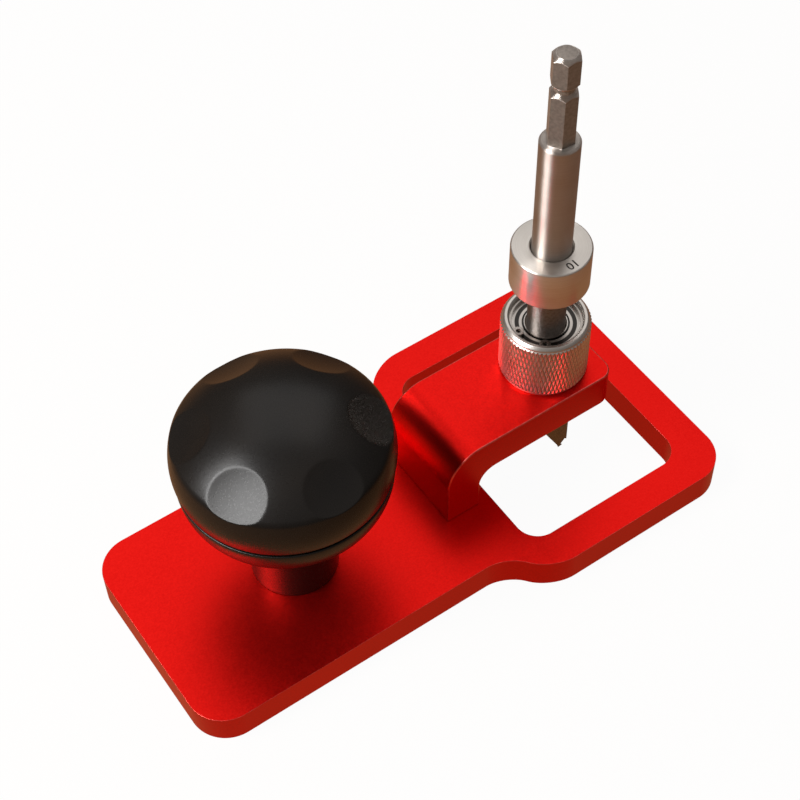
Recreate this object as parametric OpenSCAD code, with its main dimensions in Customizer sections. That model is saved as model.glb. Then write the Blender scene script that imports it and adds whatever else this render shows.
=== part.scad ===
// Vertical drilling jig: a waisted base plate with a window, a bracket arm that
// carries a knurled bearing cup over the window, a drill bit that turns and
// slides in the cup, a depth collar on the bit, and a palm knob.
// Millimetres. The origin is the middle of the plate's underside. X runs from
// the knob end to the window end, Z is up.

/* [Base plate] */
// Length of the plate
plate_len = 157.2; // [150:0.2:175]
// Width of the plate at the knob end
nose_w = 62; // [54:1:70]
// Width of the plate round the window
head_w = 83; // [78:1:96]
// Thickness of the plate
plate_t = 9.2; // [8:0.2:12]
// Radius of the four outer corners
corner_r = 10; // [6:1:14]
// Radius of the inward curve where the plate widens
waist_in_r = 12; // [9:1:15]
// Radius of the outward curve where the plate widens
waist_out_r = 14; // [10:1:17]
// Distance from the start of the widening to the window
waist_len = 13.9; // [10:0.1:20]

/* [Window] */
// Length of the window along the plate
window_len = 50.4; // [46:0.2:54]
// Width of the window across the plate
window_w = 63.8; // [56:0.2:68]
// Radius of the window's corners
window_r = 6.35; // [4:0.05:9]
// Wall left at the window end of the plate
end_wall = 9.7; // [8:0.1:14]

/* [Bracket arm] */
// Width of the arm
arm_w = 27.2; // [25:0.2:32]
// Thickness of the arm over the window
arm_t = 11; // [9:0.2:13]
// Thickness of the arm's leg
leg_t = 10.2; // [9:0.1:12]
// Height of the arm's top above the plate
arm_rise = 24.6; // [23:0.2:30]
// Outer radius of the bend
bend_out_r = 14; // [8:0.5:16]
// Inner radius of the bend
bend_in_r = 5; // [3:0.5:7]
// Radius of the two corners at the free end
arm_end_r = 4; // [2:0.5:8]
// Strip of plate between the leg and the window
leg_strip = 3.7; // [2:0.1:5]
// How far the bit stands past the middle of the window
bit_offset = 1.1; // [0:0.1:2]

/* [Bearing cup] */
// Outer diameter of the knurled cup
cup_d = 23.5; // [23:0.1:26]
// Height of the cup above the arm
cup_h = 18.6; // [17.6:0.2:22]
// Thickness of the cup's floor under the lower bearing
cup_floor = 2; // [1.5:0.1:3]
// Diameter of the spigot that screws into the arm
spigot_d = 18; // [16:0.5:20]
// Length of the spigot
spigot_len = 9; // [6:0.5:10]
// Diameter of the way through the floor and the spigot
cup_way_d = 12; // [11:0.5:13]
// Plain band left under the cup's rim
rim_band = 1.2; // [0.9:0.1:2.5]
// Depth of the knurling
knurl_depth = 0.35; // [0.2:0.05:0.5]
// Depth of the retaining ring below the rim
ring_depth = 1.3; // [0.8:0.1:2]
// Thickness of the retaining ring
ring_t = 1; // [0.8:0.1:1.2]

/* [Bearings] */
// Outer diameter of a bearing
race_od = 19; // [18.6:0.1:19.4]
// Width of a bearing
race_w = 5; // [4.6:0.1:5.4]
// Diameter of a ball
ball_d = 2.38; // [2.2:0.02:2.5]
// Balls in one bearing
ball_n = 12; // [8:1:13]

/* [Drill bit] */
// Diameter of the bit's shaft
shaft_d = 10; // [9:0.1:10.4]
// Height of the shaft's upper end above the collar
shaft_free = 35.6; // [32:0.2:45]
// Hexagon shank, across the flats
hex_af = 6.35; // [6:0.05:7]
// Length of the hexagon shank
hex_len = 25.7; // [25:0.1:32]
// Distance from the shank's end to the middle of its groove
hex_groove_from_end = 9.7; // [9:0.1:12]
// Diameter of the groove's floor
hex_groove_d = 4.9; // [4.4:0.1:5.4]
// Diameter that the cutter bores
cutter_d = 20; // [18:0.5:21]
// Thickness of the cutter's blade
blade_t = 3; // [2.4:0.1:4]
// Length of the blade's sides above the cutting edges
blade_side = 9.4; // [8:0.2:10]
// Length of the centre spur
spur_len = 7.4; // [5:0.2:8]
// Width of the centre spur at its root
spur_w = 4.6; // [3:0.2:6]
// Height at which the spur's point stands over the work
spur_lift = 0.1; // [0.1:0.1:1]
// Turn of the blade from straight across the plate, in degrees
blade_turn = 4; // [0:1:30]

/* [Depth collar] */
// Outer diameter of the collar
collar_d = 20.4; // [20:0.2:24]
// Height of the collar
collar_h = 12.7; // [10:0.1:15]
// Bore of the collar
collar_bore_d = 10.6; // [10.5:0.1:11.2]
// Drop from the collar to the cup before it stops the bit
collar_drop = 13.7; // [10:0.1:20]
// Diameter of the collar's clamping screw
clamp_d = 4; // [3:0.5:5]

/* [Knob] */
// Largest diameter of the knob
knob_d = 54.8; // [50:0.2:58]
// Distance from the knob end of the plate to the knob
knob_from_end = 44.1; // [38:0.1:48]
// Diameter of the neck
neck_d = 22.8; // [20:0.2:26]
// Height of the neck
neck_h = 28.8; // [20:0.2:34]
// Height of the lower shell
bowl_h = 13.3; // [10:0.1:16]
// Height of the upper shell's plain band
band_h = 11; // [8:0.2:14]
// Rise of the dome above the band
dome_rise = 9.7; // [7:0.1:13]
// Width of the groove between the shells
parting_w = 1; // [0.6:0.1:1.6]
// Thumb dimples round the dome
dimple_n = 6; // [3:1:8]
// Diameter of a dimple
dimple_d = 14.6; // [12:0.2:16]
// Radius of a dimple's own hollow
dish_r = 70; // [50:5:120]
// Wall of the knob's shells
knob_wall = 3; // [2:0.2:4]

/* [Hidden] */
$fn = 96;

// Overrun of every cut
cut = 0.5;
// Play of a piece that seats in another
seat_play = 0.02;
// Play round the countersunk heads
head_play = 0.05;
// Running play of the shaft in the inner races
shaft_play = 0.03;
// Play between a ball and its tracks
ball_play = 0.05;
// Straight steps in a curve that is drawn point by point
arc_steps = 16;

// Plate
plate_x0 = -plate_len/2;
plate_x1 = plate_len/2;
window_x1 = plate_x1 - end_wall;
window_x0 = window_x1 - window_len;
waist_x0 = window_x0 - waist_len;
waist_step = (head_w - nose_w)/2;
waist_sweep = acos(1 - waist_step/(waist_in_r + waist_out_r));
waist_x1 = waist_x0 + (waist_in_r + waist_out_r)*sin(waist_sweep);

// Arm
bit_x = (window_x0 + window_x1)/2 + bit_offset;
leg_x1 = window_x0 - leg_strip;
leg_x0 = leg_x1 - leg_t;
arm_x1 = bit_x + arm_w/2;
arm_z1 = plate_t + arm_rise;
arm_z0 = arm_z1 - arm_t;

// Countersunk screws: shank diameter, head diameter, key size
arm_screw_d = 5;
arm_screw_head_d = 9.6;
arm_screw_key = 3;
arm_screw_grip = 9;
arm_screw_share = 0.56;
arm_screw_pitch = arm_w*arm_screw_share;
arm_screw_x = (leg_x0 + leg_x1)/2;
knob_screw_d = 8;
knob_screw_head_d = 15.6;
knob_screw_key = 5;
knob_screw_grip = 15;
screw_sink = 0.4;
screw_hole_play = 0.3;
key_share = 0.55;

// Cup and bearings
cup_z0 = arm_z1;
cup_z1 = cup_z0 + cup_h;
cup_seat_z = cup_z0 + cup_floor;
cup_chamfer = 0.45;
cup_rim_chamfer = 0.7;
cup_foot_band = 0.8;
relief_depth = 0.6;
ring_z0 = cup_z1 - ring_depth - ring_t;
ring_groove = 0.5;
ring_land = 0.7;
lug_r = 1.45;
lug_hole_r = 0.6;
lug_reach = 1.35;
lug_angle = 29;
ring_gap_angle = 22;
ring_gap_turn = 202;
upper_z0 = ring_z0 - race_w;
lower_z0 = cup_seat_z;
race_r = race_od/2;
race_bore_r = shaft_d/2 + shaft_play;
ball_r = ball_d/2;
pitch_r = (race_r + race_bore_r)/2;
track_r = ball_r + ball_play;
land_share = 0.69;
outer_land_r = pitch_r + ball_r*land_share;
inner_land_r = pitch_r - ball_r*land_share;
race_chamfer = 0.3;
bore_chamfer = 0.45;
rebate_share = 0.4;
shield_t = 0.25;
shield_rebate_r = outer_land_r + ball_r*rebate_share;
shield_rebate = 0.45;
shield_gap = 0.35;
inner_face = 0.37;
inner_step = 0.65;
inner_step_r = race_bore_r + bore_chamfer + inner_face;
cage_fit = 1.08;
cage_half_w = 0.5;
cage_web = 0.42;
cage_top = 0.5;
cage_pocket_r = ball_r*cage_fit;

// Bit
collar_z0 = cup_z1 + collar_drop;
collar_z1 = collar_z0 + collar_h;
shaft_z1 = collar_z1 + shaft_free;
shaft_r = shaft_d/2;
shaft_chamfer = 0.6;
hex_r = hex_af/sqrt(3);
hex_z1 = shaft_z1 + hex_len;
hex_chamfer = 1.2;
hex_turn = 58;
hex_groove_z = hex_z1 - hex_groove_from_end;
hex_groove_flat = 0.6;
spur_z = spur_lift;
blade_z0 = spur_z + spur_len;
blade_z1 = blade_z0 + blade_side;
blade_shoulder = 2.2;
blade_top_z = blade_z1 + blade_shoulder;
blade_top_w = shaft_d + blade_shoulder;
blade_nick = 0.5;
edge_relief = 1.4;
braze_play = 0.02;
slot_share = 0.45;
shaft_z0 = blade_z0 + blade_side*slot_share;
shaft_end_chamfer = 1.2;

// Collar
collar_chamfer = 0.4;
collar_foot_chamfer = 0.8;
collar_mouth = 0.35;
clamp_tip_gap = 0.03;
clamp_inset = 0.5;
clamp_key = 2;
clamp_z = (collar_z0 + collar_z1)/2;
clamp_tip_chamfer = 0.6;

// Knob
knob_x = plate_x0 + knob_from_end;
neck_r = neck_d/2;
bowl_z0 = plate_t + neck_h;
bowl_z1 = bowl_z0 + bowl_h;
bowl_flat = 4.5;
bowl_flat_r = neck_r + bowl_flat;
neck_fillet = 2;
band_r = knob_d/2;
rim_drop = 0.6;
rim_r = band_r - rim_drop;
band_z0 = bowl_z1 + parting_w;
band_z1 = band_z0 + band_h;
crease_drop = 1.1;
crease_r = band_r - crease_drop;
band_bulge = (rim_drop + crease_drop)/2;
dome_r = (crease_r*crease_r + dome_rise*dome_rise)/(2*dome_rise);
dome_z = band_z1 + dome_rise - dome_r;
dimple_tilt = 33.6;
dimple_turn = 31;
dimple_plane = sqrt(dome_r*dome_r - dimple_d*dimple_d/4);
dish_out = dimple_plane + sqrt(dish_r*dish_r - dimple_d*dimple_d/4);
parting_depth = 1;
parting_r = rim_r - parting_depth;
spigot_wall = 1.6;
mouth_r = parting_r - knob_wall;
cap_spigot_len = 3;
cap_spigot_play = 0.1;
// The lower shell narrows over the spigot's length
cap_spigot_r = bowl_flat_r - cap_spigot_play
    + (mouth_r - bowl_flat_r)*sqrt(1 - pow(cap_spigot_len/(bowl_h - knob_wall), 2));
insert_d = 12;
insert_len = 18;
insert_groove = 0.6;
insert_rib = 3;

// Plan view

// A rectangle between two places along X, centred across, with round corners
module rounded_rect(x0, x1, w, r) {
    translate([x0 + r, -w/2]) square([x1 - x0 - 2*r, w]);
    translate([x0, -w/2 + r]) square([x1 - x0, w - 2*r]);
    for (x = [x0 + r, x1 - r], y = [-w/2 + r, w/2 - r])
        translate([x, y]) circle(r);
}

// Points of an arc about a centre, from one angle to another
function arc_points(centre, r, a0, a1, first = 0) =
    [for (i = [first : arc_steps]) let (a = a0 + (a1 - a0)*i/arc_steps) centre + r*[cos(a), sin(a)]];

// One outline from end to end, so that the plate is a single solid
module plate_outline() {
    edge = concat(
        arc_points([plate_x0 + corner_r, nose_w/2 - corner_r], corner_r, 180, 90),
        arc_points([waist_x0, nose_w/2 + waist_in_r], waist_in_r, -90, waist_sweep - 90),
        arc_points([waist_x1, head_w/2 - waist_out_r], waist_out_r, waist_sweep + 90, 90, 1),
        arc_points([plate_x1 - corner_r, head_w/2 - corner_r], corner_r, 90, 0));
    polygon(concat(edge, [for (i = [len(edge) - 1 : -1 : 0]) [edge[i][0], -edge[i][1]]]));
}

// Countersunk screws, head down, in the underside of the plate
module screw_body(d, head_d, key, grip) {
    cone_h = (head_d - d)/2;
    difference() {
        union() {
            translate([0, 0, screw_sink]) cylinder(h = cone_h, d1 = head_d, d2 = d);
            translate([0, 0, screw_sink]) cylinder(h = plate_t + grip - screw_sink, d = d);
        }
        translate([0, 0, screw_sink - cut])
            cylinder(h = cone_h*key_share + cut, r = key/sqrt(3), $fn = 6);
    }
}

// The hole that such a screw sits in
module screw_seat(d, head_d) {
    cone_h = (head_d - d)/2 + head_play;
    translate([0, 0, -cut]) cylinder(h = plate_t + 2*cut, d = d + 2*screw_hole_play);
    translate([0, 0, screw_sink])
        cylinder(h = cone_h, d1 = head_d + 2*head_play, d2 = d);
    translate([0, 0, -cut]) cylinder(h = screw_sink + cut, d = head_d + 2*head_play);
}

module at_arm_screws() {
    for (side = [-1, 1]) translate([arm_screw_x, side*arm_screw_pitch/2, 0]) children();
}

module base_plate() {
    color("firebrick") difference() {
        linear_extrude(plate_t) plate_outline();
        translate([0, 0, -cut]) linear_extrude(plate_t + 2*cut)
            rounded_rect(window_x0, window_x1, window_w, window_r);
        at_arm_screws() screw_seat(arm_screw_d, arm_screw_head_d);
        translate([knob_x, 0, 0]) screw_seat(knob_screw_d, knob_screw_head_d);
    }
}

module arm_screws() {
    color("dimgray") at_arm_screws()
        screw_body(arm_screw_d, arm_screw_head_d, arm_screw_key, arm_screw_grip);
}

// Bracket arm

// Side view of the bent arm, drawn with its height along Y
module arm_profile() {
    difference() {
        union() {
            translate([leg_x0, plate_t]) square([arm_x1 - leg_x0, arm_rise - bend_out_r]);
            translate([leg_x0 + bend_out_r, plate_t]) square([arm_x1 - leg_x0 - bend_out_r, arm_rise]);
            translate([leg_x0 + bend_out_r, arm_z1 - bend_out_r]) circle(bend_out_r);
        }
        translate([leg_x1, plate_t - cut]) square([arm_x1 - leg_x1 + cut, arm_z0 - plate_t + cut - bend_in_r]);
        translate([leg_x1 + bend_in_r, plate_t - cut])
            square([arm_x1 - leg_x1 - bend_in_r + cut, arm_z0 - plate_t + cut]);
        translate([leg_x1 + bend_in_r, arm_z0 - bend_in_r]) circle(bend_in_r);
        translate([leg_x0 - cut, plate_t - 2*bend_out_r]) square([arm_x1 - leg_x0, 2*bend_out_r]);
    }
}

// Top view of the arm, with its two round corners
module arm_plan() {
    translate([leg_x0 - cut, -arm_w/2]) square([arm_x1 - arm_end_r - leg_x0 + cut, arm_w]);
    translate([leg_x0 - cut, -arm_w/2 + arm_end_r]) square([arm_x1 - leg_x0 + cut, arm_w - 2*arm_end_r]);
    for (side = [-1, 1])
        translate([arm_x1 - arm_end_r, side*(arm_w/2 - arm_end_r)]) circle(arm_end_r);
}

module bridge_arm() {
    color("firebrick") difference() {
        intersection() {
            rotate([90, 0, 0]) linear_extrude(arm_w + 2*cut, center = true) arm_profile();
            linear_extrude(arm_z1 + cut) arm_plan();
        }
        translate([bit_x, 0, arm_z0 - cut]) cylinder(h = arm_t + 2*cut, d = spigot_d + 2*seat_play);
        at_arm_screws() translate([0, 0, plate_t - cut])
            cylinder(h = arm_screw_grip + cut + seat_play, d = arm_screw_d + 2*seat_play);
    }
}

// Bearing cup and what it holds

module bearing_cup() {
    knurl_r = cup_d/2;
    plain_r = knurl_r - knurl_depth;
    color("silver") translate([bit_x, 0, 0]) difference() {
        union() {
            translate([0, 0, cup_z0]) cylinder(h = cup_h - cup_rim_chamfer, r = plain_r);
            translate([0, 0, cup_z1 - cup_rim_chamfer])
                cylinder(h = cup_rim_chamfer, r1 = plain_r, r2 = plain_r - cup_rim_chamfer);
            translate([0, 0, cup_z0 + cup_foot_band]) cylinder(h = cup_h - cup_foot_band - rim_band, r = knurl_r);
            translate([0, 0, cup_z0 - spigot_len]) cylinder(h = spigot_len + cup_floor, d = spigot_d);
        }
        translate([0, 0, cup_z0 - spigot_len - cut])
            cylinder(h = spigot_len + cup_floor + 2*cut, d = cup_way_d);
        translate([0, 0, cup_seat_z - relief_depth]) cylinder(h = relief_depth + cut, r = outer_land_r);
        translate([0, 0, cup_seat_z]) cylinder(h = cup_h, r = race_r + seat_play);
        translate([0, 0, ring_z0]) cylinder(h = ring_t + seat_play, r = race_r + ring_groove);
        translate([0, 0, cup_z1 - cup_chamfer])
            cylinder(h = cup_chamfer + seat_play, r1 = race_r + seat_play, r2 = race_r + cup_chamfer + 2*seat_play);
    }
}

// A C-shaped ring in the cup's groove, with two lugs for pliers
module retaining_ring() {
    ring_r = race_r + ring_groove - seat_play;
    gap_reach = 2*race_r;
    color("gray") translate([bit_x, 0, ring_z0]) rotate([0, 0, ring_gap_turn])
        linear_extrude(ring_t) difference() {
            union() {
                difference() {
                    circle(ring_r);
                    circle(race_r - ring_land);
                    polygon([[0, 0], [gap_reach*cos(ring_gap_angle), -gap_reach*sin(ring_gap_angle)],
                        [gap_reach*cos(ring_gap_angle), gap_reach*sin(ring_gap_angle)]]);
                }
                for (side = [-1, 1]) rotate([0, 0, side*lug_angle])
                    translate([race_r - lug_reach, 0]) circle(lug_r);
            }
            for (side = [-1, 1]) rotate([0, 0, side*lug_angle])
                translate([race_r - lug_reach, 0]) circle(lug_hole_r);
        }
}

module race_spacer() {
    color("darkgray") translate([bit_x, 0, lower_z0 + race_w]) difference() {
        cylinder(h = upper_z0 - lower_z0 - race_w, r = race_r);
        translate([0, 0, -cut]) cylinder(h = upper_z0 - lower_z0 - race_w + 2*cut, r = outer_land_r);
    }
}

module ball_track() {
    translate([pitch_r, race_w/2]) circle(track_r);
}

module outer_race(z0) {
    color("lightgray") translate([bit_x, 0, z0]) rotate_extrude() difference() {
        polygon([[outer_land_r, 0], [race_r - race_chamfer, 0], [race_r, race_chamfer],
            [race_r, race_w - race_chamfer], [race_r - race_chamfer, race_w], [outer_land_r, race_w]]);
        ball_track();
        for (z = [-cut, race_w - shield_rebate])
            translate([0, z]) square([shield_rebate_r, shield_rebate + cut]);
    }
}

module inner_race(z0) {
    color("lightgray") translate([bit_x, 0, z0]) rotate_extrude() difference() {
        polygon([[race_bore_r + bore_chamfer, 0], [inner_land_r, 0], [inner_land_r, race_w],
            [race_bore_r + bore_chamfer, race_w], [race_bore_r, race_w - bore_chamfer],
            [race_bore_r, bore_chamfer]]);
        ball_track();
        for (z = [-cut, race_w - inner_step])
            translate([inner_step_r, z]) square([inner_land_r, inner_step + cut]);
    }
}

module balls(z0) {
    color("white") translate([bit_x, 0, z0 + race_w/2])
        for (i = [0 : ball_n - 1]) rotate([0, 0, i*360/ball_n])
            translate([pitch_r, 0, 0]) sphere(ball_r, $fn = 32);
}

// Crown cage: a ring with a pocket for each ball, open at the top
module cage(z0) {
    cage_z = -cage_pocket_r - cage_web;
    color("tan") translate([bit_x, 0, z0 + race_w/2]) difference() {
        rotate_extrude() translate([pitch_r - cage_half_w, cage_z]) square([2*cage_half_w, cage_top - cage_z]);
        for (i = [0 : ball_n - 1]) rotate([0, 0, i*360/ball_n])
            translate([pitch_r, 0, 0]) sphere(cage_pocket_r, $fn = 32);
    }
}

// The two dust shields of one bearing, in the outer race's rebates
module shields(z0) {
    color("silver") translate([bit_x, 0, z0])
        for (z = [shield_rebate - shield_t, race_w - shield_rebate]) translate([0, 0, z]) difference() {
            cylinder(h = shield_t, r = shield_rebate_r - seat_play);
            translate([0, 0, -cut]) cylinder(h = shield_t + 2*cut, r = inner_step_r + shield_gap);
        }
}

module upper_outer_race() { outer_race(upper_z0); }
module upper_inner_race() { inner_race(upper_z0); }
module upper_balls() { balls(upper_z0); }
module upper_cage() { cage(upper_z0); }
module upper_shields() { shields(upper_z0); }
module lower_outer_race() { outer_race(lower_z0); }
module lower_inner_race() { inner_race(lower_z0); }
module lower_balls() { balls(lower_z0); }
module lower_cage() { cage(lower_z0); }
module lower_shields() { shields(lower_z0); }

// Drill bit

// Turned envelope of the hexagon shank: end chamfer and ball groove
module shank_envelope() {
    groove_r = hex_groove_d/2;
    full_r = hex_r + cut;
    flank = full_r - groove_r;
    rotate_extrude() polygon([[0, shaft_z1 - cut], [full_r, shaft_z1 - cut],
        [full_r, hex_groove_z - hex_groove_flat - flank], [groove_r, hex_groove_z - hex_groove_flat],
        [groove_r, hex_groove_z + hex_groove_flat], [full_r, hex_groove_z + hex_groove_flat + flank],
        [full_r, hex_z1 - hex_chamfer - cut], [hex_r - hex_chamfer, hex_z1], [0, hex_z1]]);
}

module bit_shaft() {
    color("lightsteelblue") translate([bit_x, 0, 0]) difference() {
        union() {
            rotate_extrude() polygon([[0, shaft_z0], [shaft_r - shaft_end_chamfer, shaft_z0],
                [shaft_r, shaft_z0 + shaft_end_chamfer], [shaft_r, shaft_z1 - shaft_chamfer],
                [shaft_r - shaft_chamfer, shaft_z1], [0, shaft_z1]]);
            intersection() {
                rotate([0, 0, hex_turn]) translate([0, 0, shaft_z1 - cut])
                    cylinder(h = hex_len + cut, r = hex_r, $fn = 6);
                shank_envelope();
            }
        }
        rotate([0, 0, blade_turn]) translate([-blade_t/2 - braze_play, -shaft_d, shaft_z0 - cut])
            cube([blade_t + 2*braze_play, 2*shaft_d, blade_top_z - shaft_z0 + cut]);
    }
}

// Half of the blade's outline, across and up
function blade_half() = [[spur_w/2, blade_z0 - spur_w/2], [spur_w/2, blade_z0 + blade_nick],
    [cutter_d/2 - blade_nick, blade_z0 + blade_nick], [cutter_d/2, blade_z0],
    [cutter_d/2, blade_z1], [blade_top_w/2, blade_top_z]];

module cutter_blade() {
    right = blade_half();
    left = [for (i = [len(right) - 1 : -1 : 0]) [-right[i][0], right[i][1]]];
    color("dimgray") translate([bit_x, 0, 0]) rotate([0, 0, blade_turn]) difference() {
        rotate([90, 0, 90]) linear_extrude(blade_t, center = true)
            polygon(concat([[0, spur_z]], right, left));
        // Relief behind each cutting edge, on opposite faces
        for (side = [0, 180]) rotate([0, 0, side])
            translate([-blade_t/2, spur_w/2, blade_z0 - edge_relief]) rotate([0, -45, 0])
                cube([blade_t, cutter_d, edge_relief*sqrt(2)]);
    }
}

// Depth collar and its clamping screw

module depth_collar() {
    color("silver") translate([bit_x, 0, 0]) difference() {
        rotate_extrude() polygon([[collar_bore_d/2, collar_z0 + collar_mouth],
            [collar_bore_d/2 + collar_mouth, collar_z0], [collar_d/2 - collar_foot_chamfer, collar_z0],
            [collar_d/2, collar_z0 + collar_foot_chamfer], [collar_d/2, collar_z1 - collar_chamfer],
            [collar_d/2 - collar_chamfer, collar_z1], [collar_bore_d/2 + collar_mouth, collar_z1],
            [collar_bore_d/2, collar_z1 - collar_mouth]]);
        translate([0, 0, clamp_z]) rotate([-90, 0, 0]) cylinder(h = collar_d, d = clamp_d + 2*seat_play);
    }
}

module collar_screw() {
    tip_y = shaft_r + clamp_tip_gap;
    end_y = collar_d/2 - clamp_inset;
    color("dimgray") translate([bit_x, 0, clamp_z]) rotate([-90, 0, 0]) difference() {
        rotate_extrude() polygon([[0, tip_y], [clamp_d/2 - clamp_tip_chamfer, tip_y],
            [clamp_d/2, tip_y + clamp_tip_chamfer], [clamp_d/2, end_y], [0, end_y]]);
        translate([0, 0, end_y - clamp_key]) cylinder(h = clamp_key + cut, r = clamp_key/sqrt(3), $fn = 6);
    }
}

// Knob

// Points of a quarter ellipse from its side to its foot
function quarter(cx, cz, a, b) =
    [for (i = [0 : arc_steps]) [cx + a*cos(90*i/arc_steps), cz - b*sin(90*i/arc_steps)]];

// Points of a bulging band between two radii, widest between them
function band_points(r0, r1, z0, z1, bulge) =
    [for (i = [0 : arc_steps]) let (t = i/arc_steps)
        [r0 + (r1 - r0)*t + bulge*4*t*(1 - t), z0 + (z1 - z0)*t]];

module dome_dimples() {
    for (i = [0 : dimple_n - 1]) rotate([0, 0, dimple_turn + i*360/dimple_n])
        translate([0, 0, dome_z]) rotate([0, dimple_tilt, 0]) translate([0, 0, dish_out])
            sphere(dish_r, $fn = 200);
}

// Upper shell: band, dome with dimples, and a spigot that seats in the lower shell
module knob_cap() {
    band = band_points(rim_r, crease_r, band_z0, band_z1, band_bulge);
    inner_top = dome_r - knob_wall;
    color([0.12, 0.12, 0.12]) translate([knob_x, 0, 0]) difference() {
        intersection() {
            rotate_extrude() polygon(concat([[0, bowl_z1], [parting_r, bowl_z1], [parting_r, band_z0]],
                band, [[crease_r, band_z1 + dome_rise], [0, band_z1 + dome_rise]]));
            translate([0, 0, dome_z]) sphere(dome_r, $fn = 200);
        }
        intersection() {
            translate([0, 0, dome_z]) sphere(inner_top, $fn = 200);
            translate([0, 0, bowl_z1 - cut]) cylinder(h = band_h + dome_rise + cut, r = cap_spigot_r - spigot_wall);
        }
        dome_dimples();
    }
    color([0.12, 0.12, 0.12]) translate([knob_x, 0, bowl_z1 - cap_spigot_len]) difference() {
        cylinder(h = cap_spigot_len + parting_w, r = cap_spigot_r);
        translate([0, 0, -cut]) cylinder(h = cap_spigot_len + parting_w + 2*cut, r = cap_spigot_r - spigot_wall);
    }
}

// Lower shell with its neck, moulded round the insert
module knob_base() {
    outer = quarter(bowl_flat_r, bowl_z1, rim_r - bowl_flat_r, bowl_h);
    fillet = [for (i = [0 : arc_steps]) [neck_r + neck_fillet*(1 - sin(90*i/arc_steps)),
        bowl_z0 - neck_fillet*(1 - cos(90*i/arc_steps))]];
    inner_z0 = bowl_z0 + knob_wall;
    inner = quarter(bowl_flat_r, bowl_z1, mouth_r - bowl_flat_r, bowl_z1 - inner_z0);
    color([0.08, 0.08, 0.08]) translate([knob_x, 0, 0]) difference() {
        rotate_extrude() polygon(concat([[0, plate_t]], [[0, inner_z0]],
            [for (i = [arc_steps : -1 : 0]) inner[i]], outer, fillet, [[neck_r, plate_t]]));
        translate([0, 0, plate_t - cut]) cylinder(h = insert_len + cut, d = insert_d + 2*seat_play);
        translate([0, 0, plate_t]) cylinder(h = insert_len + knob_wall, d = knob_screw_d);
    }
}

module knob_insert() {
    color("goldenrod") translate([knob_x, 0, plate_t]) difference() {
        cylinder(h = insert_len, d = insert_d);
        translate([0, 0, -cut]) cylinder(h = insert_len + 2*cut, d = knob_screw_d + 2*seat_play);
        for (z = [insert_rib, insert_len - insert_rib - insert_groove*2]) translate([0, 0, z]) difference() {
            cylinder(h = insert_groove*2, d = insert_d + cut);
            translate([0, 0, -cut]) cylinder(h = insert_groove*2 + 2*cut, d = insert_d - 2*insert_groove);
        }
    }
}

module knob_screw() {
    color("dimgray") translate([knob_x, 0, 0])
        screw_body(knob_screw_d, knob_screw_head_d, knob_screw_key, knob_screw_grip);
}

base_plate();
bridge_arm();
arm_screws();
knob_cap();
knob_base();
knob_insert();
knob_screw();
bearing_cup();
retaining_ring();
race_spacer();
upper_outer_race();
upper_inner_race();
upper_balls();
upper_cage();
upper_shields();
lower_outer_race();
lower_inner_race();
lower_balls();
lower_cage();
lower_shields();
bit_shaft();
cutter_blade();
depth_collar();
collar_screw();
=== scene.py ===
# %% [markdown]
# # Vertical drilling jig
# A bench tool: a red anodised plate with a window, a red arm that carries a knurled
# steel cup with two ball bearings, a drill bit that turns and slides in them, a depth
# collar, and a black palm knob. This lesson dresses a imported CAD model. Pieces whose
# looks live in their edges, such as the plate and the knurled cup, are modelled anew
# inside the same space, and the others keep their CAD shape and get a material.

# %% Load the frame
import math
import bmesh
import bpy
from mathutils import Matrix, Vector


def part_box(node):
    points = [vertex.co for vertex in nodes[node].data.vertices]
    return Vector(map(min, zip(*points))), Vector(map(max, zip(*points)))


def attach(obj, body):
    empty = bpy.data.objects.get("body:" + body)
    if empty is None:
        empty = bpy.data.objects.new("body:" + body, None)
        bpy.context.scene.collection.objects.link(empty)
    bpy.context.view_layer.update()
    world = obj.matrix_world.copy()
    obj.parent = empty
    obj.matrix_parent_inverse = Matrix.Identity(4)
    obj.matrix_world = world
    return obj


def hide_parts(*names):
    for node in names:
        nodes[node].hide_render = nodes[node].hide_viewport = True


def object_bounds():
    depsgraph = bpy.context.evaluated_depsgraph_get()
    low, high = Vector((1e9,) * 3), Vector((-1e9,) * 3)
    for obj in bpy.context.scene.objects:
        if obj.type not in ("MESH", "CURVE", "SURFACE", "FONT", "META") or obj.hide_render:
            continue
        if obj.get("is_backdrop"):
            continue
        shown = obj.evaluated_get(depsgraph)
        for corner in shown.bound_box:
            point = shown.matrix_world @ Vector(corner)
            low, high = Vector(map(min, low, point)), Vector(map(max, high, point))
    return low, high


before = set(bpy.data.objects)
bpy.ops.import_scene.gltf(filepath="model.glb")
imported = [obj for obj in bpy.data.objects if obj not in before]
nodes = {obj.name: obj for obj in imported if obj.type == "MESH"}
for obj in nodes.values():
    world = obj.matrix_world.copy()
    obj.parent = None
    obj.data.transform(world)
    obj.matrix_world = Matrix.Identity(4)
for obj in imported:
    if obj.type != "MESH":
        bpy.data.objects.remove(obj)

cad_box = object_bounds()

# %% [markdown]
# ## Sizes
# Blender works in metres and the drawing is in millimetres, so one small unit turns
# one into the other. Most places that the CAD already knows come from the nodes'
# boxes, and the other sizes are written down again as the drawing has them.

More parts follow.
